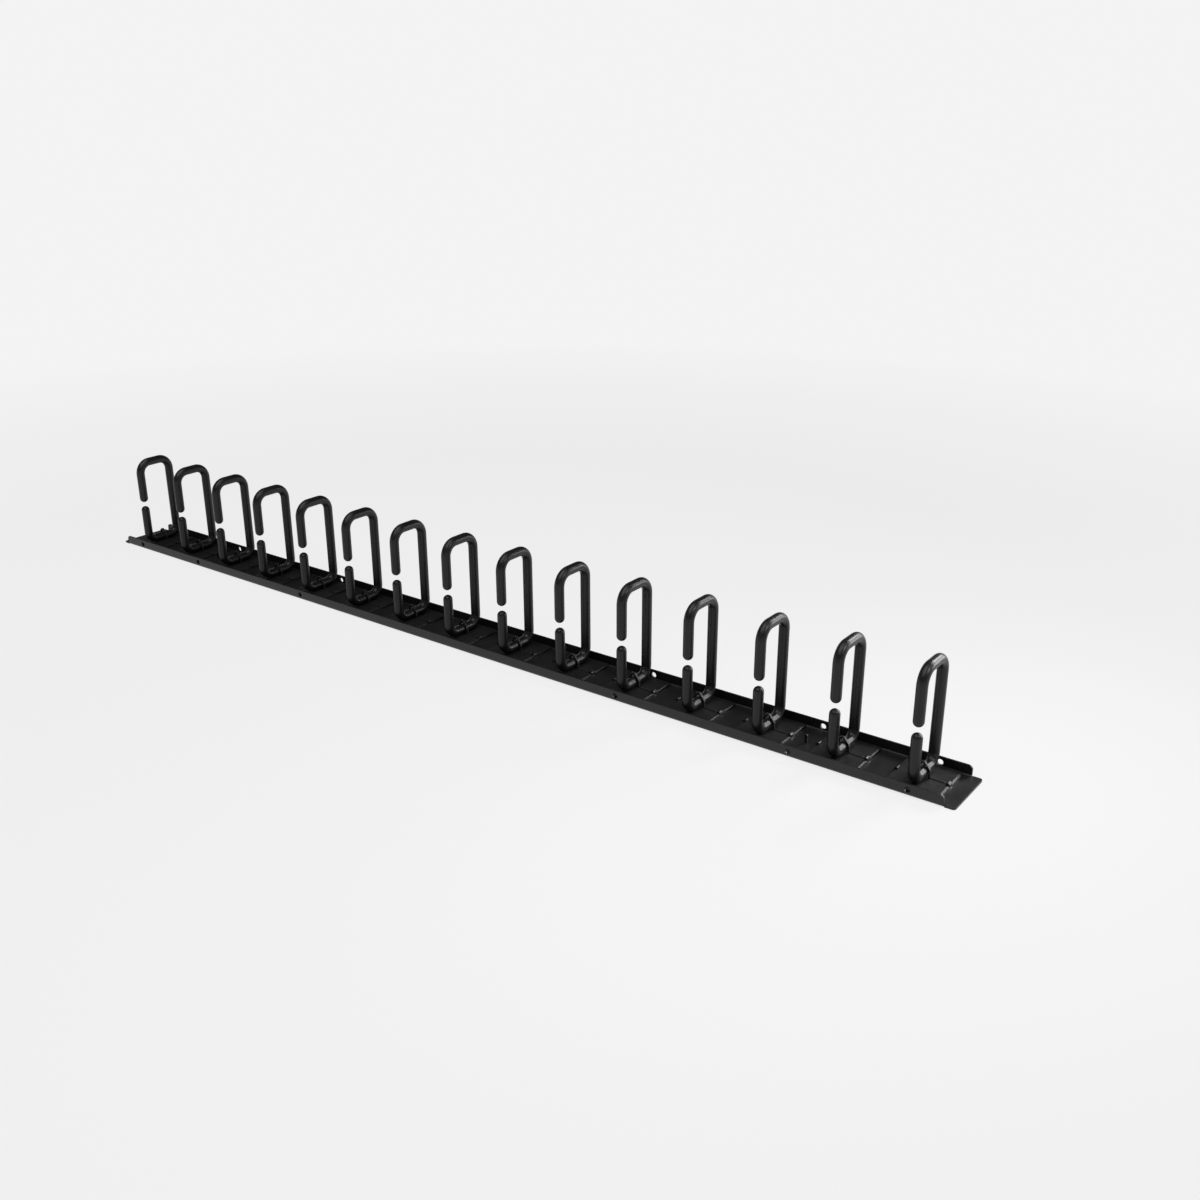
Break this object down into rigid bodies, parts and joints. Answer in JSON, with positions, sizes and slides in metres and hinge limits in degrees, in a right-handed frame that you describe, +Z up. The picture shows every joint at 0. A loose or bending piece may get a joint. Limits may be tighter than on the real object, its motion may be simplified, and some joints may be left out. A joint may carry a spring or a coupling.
{
  "type": "vertical cable manager",
  "caption": "Shallow folded steel channel with a row of open D-rings on clip plates, made to hold bundles of cables along a rack upright.",
  "frame": {"origin": "middle of the channel's underside", "axes": "+X along the channel, -Y towards the side where the rings open, +Z up from the floor through the rings"},
  "size_m": [0.9144, 0.0508, 0.0929],
  "materials": {
    "channel_coat": "black satin powder coat",
    "ring_coat": "black semi-gloss coat",
    "clip_plastic": "black moulded plastic"
  },
  "bodies": {
    "root": {"channel": "channel_coat", "plate_01": "clip_plastic", "plate_02": "clip_plastic", "plate_03": "clip_plastic", "plate_04": "clip_plastic", "plate_05": "clip_plastic", "plate_06": "clip_plastic", "plate_07": "clip_plastic", "plate_08": "clip_plastic", "plate_09": "clip_plastic", "plate_10": "clip_plastic", "plate_11": "clip_plastic", "plate_12": "clip_plastic", "plate_13": "clip_plastic", "plate_14": "clip_plastic", "plate_15": "clip_plastic", "ring_01": "ring_coat", "ring_02": "ring_coat", "ring_03": "ring_coat", "ring_04": "ring_coat", "ring_05": "ring_coat", "ring_06": "ring_coat", "ring_07": "ring_coat", "ring_08": "ring_coat", "ring_09": "ring_coat", "ring_10": "ring_coat", "ring_11": "ring_coat", "ring_12": "ring_coat", "ring_13": "ring_coat", "ring_14": "ring_coat", "ring_15": "ring_coat"}
  },
  "joints": []
}
